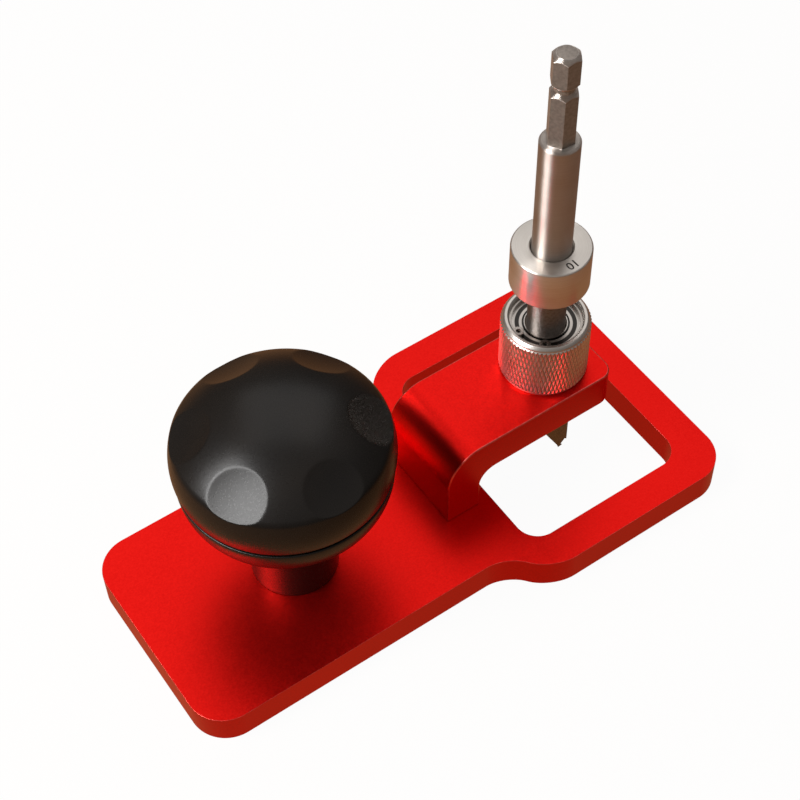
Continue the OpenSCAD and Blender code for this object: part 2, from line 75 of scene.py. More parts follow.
# %% Sizes of the pieces
mm = 0.001
plate_low, plate_high = map(Vector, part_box("base_plate"))
arm_low, arm_high = map(Vector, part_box("bridge_arm"))
cup_low, cup_high = map(Vector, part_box("bearing_cup"))
shaft_low, shaft_high = map(Vector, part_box("bit_shaft"))
collar_low, collar_high = map(Vector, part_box("depth_collar"))
cap_low, cap_high = map(Vector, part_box("knob_cap"))
neck_low = Vector(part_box("knob_base")[0])
insert_high = Vector(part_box("knob_insert")[1])
screw_high = Vector(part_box("knob_screw")[1])
spindle = Vector(((cup_low.x + cup_high.x) / 2, 0, 0))
knob = Vector(((cap_low.x + cap_high.x) / 2, 0, 0))
print("spindle at x = %.2f mm, knob at x = %.2f mm" % (spindle.x / mm, knob.x / mm))

# %% [markdown]
# ## Camera
# The photograph looks down from the front left with a long lens. The camera is turned
# about the upright axis, tipped down, and rolled very slightly. Its focal length is
# given in pixels of the photograph, which is 800 pixels wide.

# %% Camera
camera_place = Vector((-0.14777, -0.22133, 0.39443))
camera_azimuth = math.radians(-33.61)
camera_elevation = math.radians(52.25)
camera_roll = math.radians(-1.3)
sensor_width = 36
focal_pixels = 1754.76
picture_pixels = 800

bpy.ops.object.camera_add(location=camera_place)
camera = bpy.context.object
camera.name = "camera"
turn = (Matrix.Rotation(camera_azimuth, 4, "Z")
        @ Matrix.Rotation(math.pi / 2 - camera_elevation, 4, "X")
        @ Matrix.Rotation(camera_roll, 4, "Z"))
camera.rotation_euler = turn.to_euler()
camera.data.sensor_width = sensor_width
camera.data.lens = sensor_width * (focal_pixels / picture_pixels)
camera.data.clip_start = 0.01
bpy.context.scene.camera = camera
print("lens %.1f mm" % camera.data.lens)

# %% [markdown]
# ## Node helper
# Every material below is a small network. One function adds a node, sets what is
# given by name, fills or links its inputs, and places the stops where the node is a
# colour ramp, so that a material reads from top to bottom. Colours are written as
# sRGB hex values and turned to linear in one place.

# %% Helpers for materials
def linear(hex_colour):
    """The linear colour of an sRGB hex value."""
    parts = [int(hex_colour[i:i + 2], 16) / 255 for i in (1, 3, 5)]
    return tuple(p / 12.92 if p <= 0.04045 else ((p + 0.055) / 1.055) ** 2.4 for p in parts) + (1,)


def add(tree, kind, inputs=None, stops=(), **settings):
    """Adds a node. An input that is given a socket is linked, and any other value is set."""
    node = tree.nodes.new(kind)
    for name, value in settings.items():
        setattr(node, name, value)
    for name, value in (inputs or {}).items():
        socket = node.inputs[name]
        if isinstance(value, bpy.types.NodeSocket):
            tree.links.new(value, socket)
        else:
            socket.default_value = value
    if stops:
        steps = node.color_ramp.elements
        while len(steps) < len(stops):
            steps.new(1)
        for step, (place, colour) in zip(steps, stops):
            step.position = place
            step.color = colour if isinstance(colour, tuple) else (colour, colour, colour, 1)
    return node


def new_material(name):
    """An empty material and its node tree."""
    made = bpy.data.materials.new(name)
    made.use_nodes = True
    made.node_tree.nodes.clear()
    return made, made.node_tree


# %% [markdown]
# ## Floor, world and lamps
# The photograph is a cut-out on white. The floor is white to the camera and keeps a
# soft shadow. Bare steel stood on a tan bench, and its upright sides mirror nothing
# but that bench, so glossy rays meet the floor in a bench tan with painted light on
# it, lighter on the left and darker to the right. The world is white to the camera,
# and round the object it is a dim grey room that gets lighter towards the ceiling.
# Two softboxes light it: a wide dim one overhead, and a small bright one high on the left.

# %% Floor
def seen_rays(tree, rays):
    """One for rays from the camera, also through clear things, and nought for the rest."""
    seen = add(tree, "ShaderNodeMath", {0: rays.outputs["Is Camera Ray"],
                                        1: rays.outputs["Is Transmission Ray"]}, operation="MAXIMUM")
    return seen.outputs[0]


floor_size = 3
bench_x0, bench_x1 = -0.2, 0.3
white_share = 0.96
bpy.ops.object.select_all(action="DESELECT")
bpy.ops.mesh.primitive_plane_add(size=floor_size, location=(0, 0, 0))
floor = bpy.context.object
floor.name = "floor"
floor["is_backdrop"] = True

floor_paint, tree = new_material("white_backdrop_floor")
rays = add(tree, "ShaderNodeLightPath")
background = add(tree, "ShaderNodeMath", {0: seen_rays(tree, rays), 1: rays.outputs["Is Glossy Ray"]},
                 operation="MAXIMUM")
floor_place = add(tree, "ShaderNodeTexCoord")
floor_x = add(tree, "ShaderNodeSeparateXYZ", {"Vector": floor_place.outputs["Object"]})
to_right = add(tree, "ShaderNodeMapRange", {"Value": floor_x.outputs["X"], "From Min": bench_x0,
                                            "From Max": bench_x1})
# Painted light on the bench that glossy rays see: lighter on the left, darker to the right.
bench_painted_light = add(tree, "ShaderNodeValToRGB", {"Fac": to_right.outputs["Result"]},
            [(0, linear("#C48B5A")), (1, linear("#8C5832"))]).outputs["Color"]
background_colour = add(tree, "ShaderNodeMix", {"Factor": rays.outputs["Is Glossy Ray"],
                                                "A": linear("#FFFFFF"), "B": bench_painted_light}, data_type="RGBA")
glow = add(tree, "ShaderNodeEmission", {"Color": background_colour.outputs["Result"], "Strength": 1})
matt = add(tree, "ShaderNodeBsdfDiffuse", {"Color": linear("#D8C6B4")})
shadow_share = add(tree, "ShaderNodeMath", {0: background.outputs[0], 1: white_share},
                   operation="MULTIPLY")
backdrop = add(tree, "ShaderNodeMixShader", {0: shadow_share.outputs[0], 1: matt.outputs[0],
                                             2: glow.outputs[0]})
add(tree, "ShaderNodeOutputMaterial", {"Surface": backdrop.outputs[0]})
floor.data.materials.append(floor_paint)
print("floor", floor_size, "m")

# %% World
world = bpy.data.worlds.new("pale_room")
bpy.context.scene.world = world
world.use_nodes = True
tree = world.node_tree
tree.nodes.clear()
rays = add(tree, "ShaderNodeLightPath")
sky = add(tree, "ShaderNodeTexCoord")
height = add(tree, "ShaderNodeSeparateXYZ", {"Vector": sky.outputs["Generated"]})
room = add(tree, "ShaderNodeValToRGB", {"Fac": height.outputs["Z"]},
           [(0.0, linear("#4C4A48")), (0.5, linear("#6C6A68")), (0.8, linear("#A9A7A5"))]).outputs["Color"]
colour = add(tree, "ShaderNodeMix", {"Factor": seen_rays(tree, rays), "A": room, "B": linear("#FFFFFF")},
             data_type="RGBA")
shine = add(tree, "ShaderNodeBackground", {"Color": colour.outputs["Result"], "Strength": 1})
add(tree, "ShaderNodeOutputWorld", {"Surface": shine.outputs[0]})
print("world:", world.name)

# %% Lamps
def softbox(name, towards, distance, size, glow_level):
    """A square lamp that faces the object from a direction, with a given brightness."""
    aim = Vector(towards).normalized()
    bpy.ops.object.light_add(type="AREA", location=aim * distance)
    lamp = bpy.context.object
    lamp.name = name
    lamp.rotation_euler = aim.to_track_quat("Z", "Y").to_euler()
    lamp.data.shape = "SQUARE"
    lamp.data.size = size
    lamp.data.energy = glow_level * math.pi * size * size
    print(name, "%.1f W" % lamp.data.energy)
    return lamp


softbox("overhead_softbox", (0.3, 0.47, 0.83), 1.2, 1.1, 0.82)
softbox("left_softbox", (-0.646, 0.114, 0.755), 0.8, 0.36, 18)

# %% [markdown]
# ## Modelling helpers
# An operator acts on whatever is selected, and the loaded frame starts out selected.
# So each step first clears the selection, and then faces or edges are picked by their
# place, as one would click them by hand.

# %% Helpers for modelling
def clear():
    """Leaves edit mode and selects nothing."""
    if bpy.context.object and bpy.context.object.mode != "OBJECT":
        bpy.ops.object.mode_set(mode="OBJECT")
    bpy.ops.object.select_all(action="DESELECT")


def only(piece):
    """Leaves edit mode and selects this piece alone."""
    clear()
    bpy.context.view_layer.objects.active = piece
    piece.select_set(True)


def start(name):
    """Names the primitive that was just added and fixes its size and place in its mesh."""
    piece = bpy.context.object
    piece.name = name
    piece.data.name = name
    bpy.ops.object.transform_apply(location=True, rotation=True, scale=True)
    return piece


def block(name, middle, size):
    """A box of a size, at a place."""
    clear()
    bpy.ops.mesh.primitive_cube_add(size=1, location=middle, scale=size)
    return start(name)


def pick(piece, kind, test):
    """Opens the piece and selects its verts, edges or faces whose middle and normal pass a test."""
    only(piece)
    bpy.ops.object.mode_set(mode="EDIT")
    bpy.ops.mesh.select_mode(type=kind.upper())
    bpy.ops.mesh.select_all(action="DESELECT")
    mesh = bmesh.from_edit_mesh(piece.data)
    found = 0
    for part in {"vert": mesh.verts, "edge": mesh.edges, "face": mesh.faces}[kind]:
        if kind == "vert":
            wanted = test(part.co, part.normal)
        elif kind == "edge":
            wanted = test((part.verts[0].co + part.verts[1].co) / 2, part.verts[1].co - part.verts[0].co)
        else:
            wanted = test(part.calc_center_median(), part.normal)
        if wanted:
            part.select_set(True)
            found += 1
    mesh.select_flush_mode()
    bmesh.update_edit_mesh(piece.data)
    return found


def modify(piece, kind, **settings):
    """Adds a modifier with its settings and applies it."""
    only(piece)
    bpy.ops.object.modifier_add(type=kind)
    modifier = piece.modifiers[-1]
    for name, value in settings.items():
        setattr(modifier, name, value)
    bpy.ops.object.modifier_apply(modifier=modifier.name)


def cut_away(piece, tool, operation="DIFFERENCE"):
    """Cuts the tool's shape out of a piece and throws the tool away."""
    modify(piece, "BOOLEAN", operation=operation, object=tool, solver="EXACT")
    bpy.data.objects.remove(tool)


def soften(piece, width, angle=32, steps=3, edge_slot=-1):
    """Rounds every edge sharper than an angle, keeps the flats flat, and may give the edges a slot."""
    modify(piece, "BEVEL", width=width, segments=steps, limit_method="ANGLE", material=edge_slot,
           angle_limit=math.radians(angle), harden_normals=False, use_clamp_overlap=True)
    only(piece)
    bpy.ops.object.shade_smooth_by_angle(angle=math.radians(angle))
    modify(piece, "WEIGHTED_NORMAL", keep_sharp=True, weight=60)


def turned(name, profile, centre, steps):
    """Spins a profile of (radius, height) points, in millimetres, about an upright axis."""
    first = Vector((profile[0][0] * mm, 0, profile[0][1] * mm))
    clear()
    bpy.ops.mesh.primitive_plane_add(size=mm, location=first)
    piece = start(name)
    only(piece)
    bpy.ops.object.mode_set(mode="EDIT")
    bpy.ops.mesh.select_mode(type="VERT")
    bpy.ops.mesh.select_all(action="SELECT")
    bpy.ops.mesh.merge(type="CENTER")
    for (r0, z0), (r1, z1) in zip(profile, profile[1:]):
        bpy.ops.mesh.extrude_vertices_move(
            TRANSFORM_OT_translate={"value": ((r1 - r0) * mm, 0, (z1 - z0) * mm)})
    bpy.ops.mesh.select_all(action="SELECT")
    bpy.ops.mesh.spin(steps=steps, angle=2 * math.pi, center=(0, 0, 0), axis=(0, 0, 1))
    bpy.ops.mesh.select_all(action="SELECT")
    bpy.ops.mesh.remove_doubles(threshold=0.0005 * mm)
    bpy.ops.mesh.normals_make_consistent(inside=False)
    bpy.ops.transform.translate(value=centre)
    only(piece)
    return piece


def arc(centre, radius, start_turn, end_turn, steps):
    """Points of an arc in a profile, from one angle in degrees to another."""
    turns = [math.radians(start_turn + (end_turn - start_turn) * i / steps) for i in range(steps + 1)]
    return [(centre[0] + radius * math.cos(t), centre[1] + radius * math.sin(t)) for t in turns]


def dress(piece, body, slot, *materials):
    """Gives a finished piece its body and its materials. Its finish slot is not used."""
    only(piece)
    for i, material in enumerate(materials):
        if i < len(piece.data.materials):
            piece.data.materials[i] = material
        else:
            piece.data.materials.append(material)
    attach(piece, body)
    print(piece.name, len(piece.data.polygons), "faces on", body)


# %% [markdown]
# ## Base plate
# The real plate is milled from aluminium bar: a waisted outline, a window with round
# corners, and countersunk holes from below. It could be drawn as a curve and extruded.
# Here it is cut the way it is milled: a block is sawn at the waist, its nose is
# narrowed, and the upright edges are rounded, so each radius stays a number.

# %% Base plate: block and waist
head_w = 83.0
nose_w = 62.0
corner_r = 10.0
waist_x = 4.6
waist_in_r = 12.0
waist_out_r = 14.0
waist_sweep = math.acos(1 - (head_w - nose_w) / 2 / (waist_in_r + waist_out_r))
waist_in_reach = waist_in_r * math.tan(waist_sweep / 2)
waist_out_reach = waist_out_r * math.tan(waist_sweep / 2)
waist_in_x = waist_x + waist_in_reach
waist_out_x = waist_x + (waist_in_r + waist_out_r) * math.sin(waist_sweep) - waist_out_reach
apart = 0.999
near = 0.2
just_past = 0.1
waist_steps = 14
corner_steps = 20

plate_size = plate_high - plate_low
plate = block("milled_base_plate", (plate_low + plate_high) / 2, plate_size)
for x in (waist_in_x, waist_out_x):
    pick(plate, "face", lambda middle, normal: True)
    bpy.ops.mesh.bisect(plane_co=(x * mm, 0, 0), plane_no=(1, 0, 0))
pick(plate, "vert", lambda place, normal: place.x < (waist_in_x + just_past) * mm)
bpy.ops.transform.resize(value=(1, nose_w / head_w, 1), center_override=(0, 0, 0))


def upright(x):
    """A test for upright edges near a place along X."""
    return lambda middle, run: abs(middle.x - x * mm) < near * mm and abs(run.z) > abs(run.x) + abs(run.y)


def round_edges(piece, test, radius, steps):
    """Rounds the edges that pass a test by a distance along their faces."""
    pick(piece, "edge", test)
    bpy.ops.mesh.bevel(offset=radius * mm, offset_type="OFFSET", segments=steps, profile=0.5,
                       affect="EDGES", clamp_overlap=False)


round_edges(plate, upright(waist_in_x), waist_in_reach, waist_steps)
round_edges(plate, upright(waist_out_x), waist_out_reach * apart, waist_steps)
round_edges(plate, upright(plate_low.x / mm), corner_r, corner_steps)
round_edges(plate, upright(plate_high.x / mm), corner_r, corner_steps)
print("plate outline:", len(plate.data.vertices), "points before the cuts")

# %% Base plate: window
window_x0, window_x1 = 18.5, 68.9
window_w = 63.8
window_r = 6.35
window_steps = 16
over = 2.0
window = block("window_tool", ((window_x0 + window_x1) / 2 * mm, 0, plate_high.z / 2),
               ((window_x1 - window_x0) * mm, window_w * mm, plate_high.z + over * mm))
round_edges(window, lambda middle, run: abs(run.z) > abs(run.x) + abs(run.y), window_r, window_steps)
cut_away(plate, window)
print("window, mm:", round(window_x1 - window_x0, 2), "by", window_w)

# %% Base plate: countersunk holes
head_sink = 0.4
hole_steps = 48


def screw_seat(hole_r, head_r, place):
    """The shape of a countersunk hole, to be cut from below."""
    top = plate_high.z / mm + over
    cone = head_r - hole_r
    return turned("seat_tool", [(0, -over), (head_r, -over), (head_r, head_sink), (hole_r, head_sink + cone),
                                (hole_r, top), (0, top)], place, hole_steps)


arm_screw_x = 9.7
arm_screw_y = 7.616
arm_screw_hole_r = 2.8
arm_screw_head_r = 4.85
knob_screw_hole_r = 4.3
knob_screw_head_r = 7.85
for side in (-1, 1):
    cut_away(plate, screw_seat(arm_screw_hole_r, arm_screw_head_r,
                               Vector((arm_screw_x * mm, side * arm_screw_y * mm, 0))))
cut_away(plate, screw_seat(knob_screw_hole_r, knob_screw_head_r, knob))
print("plate after the cuts:", len(plate.data.polygons), "faces")

# %% Base plate: rounded edges
edge_round = 0.4


def soften_with_slot(piece):
    """Gives a piece a slot for its faces and one for its edges, and rounds the edges."""
    for _ in range(2):
        piece.data.materials.append(None)
    soften(piece, edge_round * mm, edge_slot=1)


soften_with_slot(plate)
print("plate size, mm:", [round(v / mm, 2) for v in plate.dimensions])

# %% [markdown]
# ## Arm
# The arm is one thick bracket: a leg, a bend with a wide radius outside and a small
# one inside, and a flat top with round corners. A block is made for the leg, and the
# upper part of its side is pulled out over the window.

# %% Arm
arm_w = arm_high.y - arm_low.y
leg_t = 10.2 * mm
arm_t = 11.0 * mm
facing = 0.9
leg_size = Vector((leg_t, arm_w, arm_high.z - arm_low.z))
leg_middle = Vector((arm_low.x + leg_t / 2, 0, (arm_low.z + arm_high.z) / 2))
arm = block("bent_arm", leg_middle, leg_size)
pick(arm, "face", lambda middle, normal: True)
bpy.ops.mesh.bisect(plane_co=(0, 0, arm_high.z - arm_t), plane_no=(0, 0, 1))
pick(arm, "face", lambda middle, normal: normal.x > facing and middle.z > arm_high.z - arm_t)
bpy.ops.mesh.extrude_region_move(TRANSFORM_OT_translate={"value": (arm_high.x - arm_low.x - leg_t, 0, 0)})


def across(x, z):
    """A test for edges that run across the arm at a place."""
    return lambda middle, run: (abs(middle.x - x) < near * mm and abs(middle.z - z) < near * mm
                                and abs(run.y) > abs(run.x) + abs(run.z))


bend_out_r, bend_out_steps = 14.0, 28
bend_in_r, bend_in_steps = 5.0, 14
arm_end_r, arm_end_steps = 4.0, 12
round_edges(arm, across(arm_low.x, arm_high.z), bend_out_r, bend_out_steps)
round_edges(arm, across(arm_low.x + leg_t, arm_high.z - arm_t), bend_in_r, bend_in_steps)
round_edges(arm, upright(arm_high.x / mm), arm_end_r, arm_end_steps)
print("arm outline:", len(arm.data.vertices), "points before the bore")

# %% Arm: bore for the cup
seat_play = 0.02
spigot_r = 9.0
spigot_bore_r = spigot_r + seat_play
bore_z0 = (arm_high.z - arm_t) / mm - over
bore_z1 = arm_high.z / mm + over
bar_steps = 96
cut_away(arm, turned("bore_tool", [(0, bore_z0), (spigot_bore_r, bore_z0), (spigot_bore_r, bore_z1),
                                   (0, bore_z1)], spindle, bar_steps))
soften_with_slot(arm)
print("arm size, mm:", [round(v / mm, 2) for v in arm.dimensions])

# %% [markdown]
# ## Knob
# Two moulded shells. The lower one flows from the neck into a bowl. The upper one has
# a slightly bulging band, a soft crease, and a dome with six thumb dimples. Turned
# profiles give both, and the dimples are then pressed into the dome point by point:
# each point of the dome moves down to a shallow hollow where that lies lower, with a
# small blend so that the rim is soft and catches a thin light.

# %% Knob: lower shell
foot_z = neck_low.z / mm
neck_r = 11.4
bowl_z0 = 38.0
bowl_z1 = 51.3
bowl_flat_r = neck_r + 4.5
rim_r = 26.8
neck_fillet = 2.0
curve_steps = 28
fillet_steps = 8
round_steps = 4
small_round = 0.35
foot_edge = 0.3
tip_room = 0.5
shell_steps = 160
bowl_top = bowl_z1 - small_round
fillet = arc((neck_r + neck_fillet, bowl_z0 - neck_fillet), neck_fillet, 180, 90, fillet_steps)
bowl = []
for i in range(curve_steps + 1):
    turn = math.radians(90 * i / curve_steps)
    bowl.append((bowl_flat_r + (rim_r - bowl_flat_r) * math.sin(turn),
                 bowl_top - (bowl_top - bowl_z0) * math.cos(turn)))
base_rim = arc((rim_r - small_round, bowl_top), small_round, 0, 90, round_steps)
insert_top = insert_high.z / mm + seat_play
insert_r = insert_high.y / mm + seat_play
screw_top = max(insert_high.z, screw_high.z) / mm + tip_room
screw_r = 4.0 + seat_play
bore = [(0, screw_top), (screw_r, screw_top), (screw_r, insert_top), (insert_r, insert_top),
        (insert_r, foot_z)]
knob_base = turned("knob_lower_shell",
                   bore + [(neck_r - foot_edge, foot_z), (neck_r, foot_z + foot_edge)] + fillet + bowl
                   + base_rim[1:] + [(0, bowl_z1)], knob, shell_steps)
print("lower shell, mm:", [round(v / mm, 2) for v in knob_base.dimensions])

# %% Knob: upper shell
band_r = 27.4
crease_r = band_r - 1.1
band_z0 = 52.3
band_z1 = 63.3
dome_rise = 9.7
parting_r = rim_r - 1.0
dome_r = (crease_r ** 2 + dome_rise ** 2) / (2 * dome_rise)
dome_z = band_z1 + dome_rise - dome_r
crease_round = 0.9
bulge = 0.85
band_steps = 48
band_start = 0.5
cap_foot_r = 0.4
cap_foot_in = 0.3
crease_steps = 10
dome_rings = 90
dome_steps = 400
band = []
for i in range(band_steps + 1):
    t = i / band_steps
    band.append((rim_r + (crease_r - rim_r) * t + bulge * 4 * t * (1 - t), band_z0 + (band_z1 - band_z0) * t))
band = [(r, z) for r, z in band if band_z0 + band_start < z < band_z1 - crease_round]
dome_start = math.degrees(math.asin((crease_r - crease_round) / dome_r))
dome = arc((0, dome_z), dome_r, 90 - dome_start, 90, dome_rings)
low_rim = arc((rim_r - cap_foot_in, band_z0 + cap_foot_r), cap_foot_r, -90, 0, round_steps)
corner = (crease_r, band_z1)
crease = []
for i in range(1, crease_steps):
    t = i / crease_steps
    crease.append(tuple((1 - t) ** 2 * a + 2 * t * (1 - t) * b + t * t * c
                        for a, b, c in zip(band[-1], corner, dome[0])))
knob_cap = turned("knob_upper_shell",
                  [(0, bowl_z1), (parting_r, bowl_z1), (parting_r, band_z0)] + low_rim + band + crease
                  + dome[:-1] + [(0, dome_z + dome_r)], knob, dome_steps)
print("dome radius %.1f mm" % dome_r)

# %% Knob: thumb dimples
dimples = 6
dimple_d = 14.6
dimple_tilt = math.radians(33.6)
dimple_turn = 31.0
dish_r = 70.0
rim_blend = 0.06
dome_margin = 2
nearly_along = 0.9
dish_out = math.sqrt(dome_r ** 2 - dimple_d ** 2 / 4) + math.sqrt(dish_r ** 2 - dimple_d ** 2 / 4)
dome_centre = Vector((knob.x, 0, dome_z * mm))
dishes = []
for i in range(dimples):
    turn = math.radians(dimple_turn + 360 * i / dimples)
    dishes.append(Vector((math.sin(dimple_tilt) * math.cos(turn), math.sin(dimple_tilt) * math.sin(turn),
                          math.cos(dimple_tilt))))
pressed = 0
for point in knob_cap.data.vertices:
    out = (point.co - dome_centre) / mm
    reach = out.length
    if point.co.z < (band_z1 - dome_margin) * mm:
        continue
    for dish in dishes:
        along = out.dot(dish) / reach
        room = dish_r ** 2 - dish_out ** 2 * (1 - along ** 2)
        if along < nearly_along or room < 0:
            continue
        hollow = dish_out * along - math.sqrt(room)
        blend = max(rim_blend - abs(out.length - hollow), 0) / rim_blend
        lower = min(out.length, hollow) - blend * blend * rim_blend / 4
        if lower < out.length:
            out *= lower / out.length
            pressed += 1
    point.co = dome_centre + out * mm
for shell in (knob_base, knob_cap):
    only(shell)
    bpy.ops.object.shade_smooth_by_angle(angle=math.radians(40))
print("dimples pressed into", pressed, "points")

# %% [markdown]
# ## Bearing cup
# A turned steel cup with a diamond knurl, rolled in by two crossing wheels. The cup is
# spun from its profile, with plain rows where the knurl goes. There the faces are
# poked, the old edges are dissolved so that diamonds remain, and each diamond is inset
# and raised. Sixty-eight diamonds go round, four rows up.

# %% Cup: turned profile
cup_z0 = arm_high.z / mm
cup_z1 = cup_high.z / mm
cup_r = cup_high.x / mm - spindle.x / mm
knurl_depth = 0.35
knurl_gap = 0.27
plain_r = cup_r - knurl_depth
seat_r = 9.5 + seat_play
groove_r = 10.0
ring_z0, ring_z1 = 50.1, 51.12
knurl_z0 = cup_z0 + 0.8
knurl_z1 = cup_z1 - 1.2
knurl_rows = 4
knurl_round = 68
knurl_levels = [knurl_z0 + (knurl_z1 - knurl_z0) * i / knurl_rows for i in range(knurl_rows + 1)]
foot_round = 0.25
rim_chamfer = 0.7
mouth_chamfer = 0.45
spigot_len = 9
through_r = 6.0
ledge_r = 8.09
ledge_z0, ledge_z1 = cup_z0 + 1.4, cup_z0 + 2
rim_steps = [(0, rim_chamfer + 0.1), (0.08, rim_chamfer - 0.05),
             (rim_chamfer - 0.1, 0.1), (rim_chamfer + 0.1, 0)]
cup_outside = [(through_r, cup_z0 - spigot_len), (spigot_r, cup_z0 - spigot_len), (spigot_r, cup_z0),
               (plain_r - foot_round, cup_z0), (plain_r, cup_z0 + foot_round)]
cup_outside += [(plain_r, z) for z in knurl_levels]
cup_outside += [(plain_r - inwards, cup_z1 - down) for inwards, down in rim_steps]
cup_inside = [(seat_r + mouth_chamfer, cup_z1), (seat_r, cup_z1 - mouth_chamfer), (seat_r, ring_z1),
              (groove_r, ring_z1), (groove_r, ring_z0), (seat_r, ring_z0), (seat_r, ledge_z1),
              (ledge_r, ledge_z1), (ledge_r, ledge_z0), (through_r, ledge_z0),
              (through_r, cup_z0 - spigot_len)]
cup = turned("knurled_bearing_cup", cup_outside + cup_inside, spindle, knurl_round)
print("knurl rows:", knurl_rows, "from %.2f to %.2f mm" % (knurl_z0, knurl_z1))

# %% Cup: knurl
tight, loose = 1e-6, 1e-5
upright_share, level_share = 0.99, 0.01


def on_band(middle, normal=None):
    """True on the outside of the cup between the knurl's ends."""
    out = math.hypot(middle.x - spindle.x, middle.y)
    return out > (plain_r - near) * mm and knurl_z0 * mm - tight < middle.z < knurl_z1 * mm + tight


pick(cup, "face", on_band)
bpy.ops.mesh.poke()


def old_edge(middle, run):
    """True for the band's own upright edges and for its level edges between rows."""
    if not on_band(middle):
        return False
    steep = abs(run.z) > upright_share * run.length
    level = abs(run.z) < level_share * run.length
    inner = knurl_z0 * mm + loose < middle.z < knurl_z1 * mm - loose
    return steep or (level and inner)


old_edges = pick(cup, "edge", old_edge)
bpy.ops.mesh.dissolve_edges(use_verts=False)
diamonds = pick(cup, "face", on_band)
bpy.ops.mesh.inset(thickness=knurl_gap * mm, depth=knurl_depth * mm, use_individual=True)
only(cup)
bpy.ops.object.shade_smooth_by_angle(angle=math.radians(24))
print("edges dissolved:", old_edges, "diamonds:", diamonds)
print("cup size, mm:", [round(v / mm, 2) for v in cup.dimensions])

# %% [markdown]
# ## Drill bit
# The shaft and its quarter-inch hexagon shank are one turned bar. The hexagon is
# milled first and then turned, so its end chamfer and its ball groove are round cuts
# across six flats.

# %% Drill bit: shaft
shaft_r = 5.0
shaft_z0 = shaft_low.z / mm
shaft_z1 = 114.4
end_chamfer = 1.2
shoulder = [(0, 0.7), (0.08, 0.45), (0.6, 0)]
shaft = turned("ground_bit_shaft",
               [(0, shaft_z0), (shaft_r - end_chamfer, shaft_z0), (shaft_r, shaft_z0 + end_chamfer)]
               + [(shaft_r - inwards, shaft_z1 - down) for inwards, down in shoulder]
               + [(0, shaft_z1)], spindle, bar_steps)
print("shaft from %.2f to %.2f mm" % (shaft_z0, shaft_z1))

# %% Drill bit: hexagon shank
hex_z1 = shaft_high.z / mm
hex_flats = 6.35
hex_r = hex_flats / math.sqrt(3)
hex_turn = math.radians(58)
groove_z = hex_z1 - 9.7
groove_floor_r = 2.45
groove_half = 0.6
spare = 0.5
full_r = hex_r + spare
flank = full_r - groove_floor_r
sunk = 1
shaft_edge = 0.12
clear()
bpy.ops.mesh.primitive_cylinder_add(vertices=6, radius=hex_r * mm, depth=(hex_z1 - shaft_z1 + sunk) * mm,
                                    location=(spindle.x, 0, (hex_z1 + shaft_z1 - sunk) / 2 * mm),
                                    rotation=(0, 0, hex_turn - math.pi / 2))
shank = start("shank_bar")
envelope = turned("shank_envelope",
                  [(0, shaft_z1 - over), (full_r, shaft_z1 - over), (full_r, groove_z - groove_half - flank),
                   (groove_floor_r, groove_z - groove_half), (groove_floor_r, groove_z + groove_half),
                   (full_r, groove_z + groove_half + flank), (full_r, hex_z1 - spare - end_chamfer),
                   (hex_r - end_chamfer, hex_z1), (0, hex_z1)], spindle, bar_steps)
cut_away(shank, envelope, "INTERSECT")
cut_away(shaft, shank, "UNION")
soften(shaft, shaft_edge * mm, angle=28, steps=2)
print("bit size, mm:", [round(v / mm, 2) for v in shaft.dimensions])

# %% [markdown]
# ## Collar
# A plain turned steel ring with small chamfers and a radial hole for its grub screw.
# Its upper face carries a plain size number, burnt in dark and matt by a laser. The
# number is cut 0.12 mm deep, and the faces of the cut take the dark material.

# %% Collar
collar_r = 10.2
bore_r = 5.3
bore_edge = 0.35
collar_z0 = collar_low.z / mm
collar_z1 = collar_high.z / mm
low_corner = [(0.8, 0), (0.15, 0.55), (0, 0.9)]
high_corner = [(0, 0.42), (0.1, 0.2), (0.35, 0.02), (0.45, 0)]
collar = turned("turned_depth_collar",
                [(bore_r, collar_z0 + bore_edge), (bore_r + bore_edge, collar_z0)]
                + [(collar_r - inwards, collar_z0 + up) for inwards, up in low_corner]
                + [(collar_r - inwards, collar_z1 - down) for inwards, down in high_corner]
                + [(bore_r + bore_edge, collar_z1), (bore_r, collar_z1 - bore_edge),
                   (bore_r, collar_z0 + bore_edge)], spindle, shell_steps)
print("collar size, mm:", [round(v / mm, 2) for v in collar.dimensions])

# %% Collar: screw hole
clamp_z = (collar_z0 + collar_z1) / 2
clamp_hole_r = 2.0 + seat_play
clamp_hole_len = 12
clear()
bpy.ops.mesh.primitive_cylinder_add(vertices=hole_steps, radius=clamp_hole_r * mm, depth=clamp_hole_len * mm,
                                    rotation=(math.pi / 2, 0, 0),
                                    location=(spindle.x, clamp_hole_len / 2 * mm, clamp_z * mm))
cut_away(collar, start("clamp_hole_tool"))
print("collar after the hole:", len(collar.data.polygons), "faces")

# %% Material: laser-etched steel
etched, tree = new_material("laser_etched_steel")
grain = add(tree, "ShaderNodeTexNoise", {"Scale": 1 / (0.3 * mm), "Detail": 2})
tone = add(tree, "ShaderNodeValToRGB", {"Fac": grain.outputs["Fac"]},
           [(0.3, linear("#2B2623")), (0.7, linear("#3E3834"))]).outputs["Color"]
burnt = add(tree, "ShaderNodeBsdfPrincipled", {"Base Color": tone, "Metallic": 0.6, "Roughness": 0.6})
add(tree, "ShaderNodeOutputMaterial", {"Surface": burnt.outputs[0]})
print(etched.name, len(tree.nodes), "nodes")

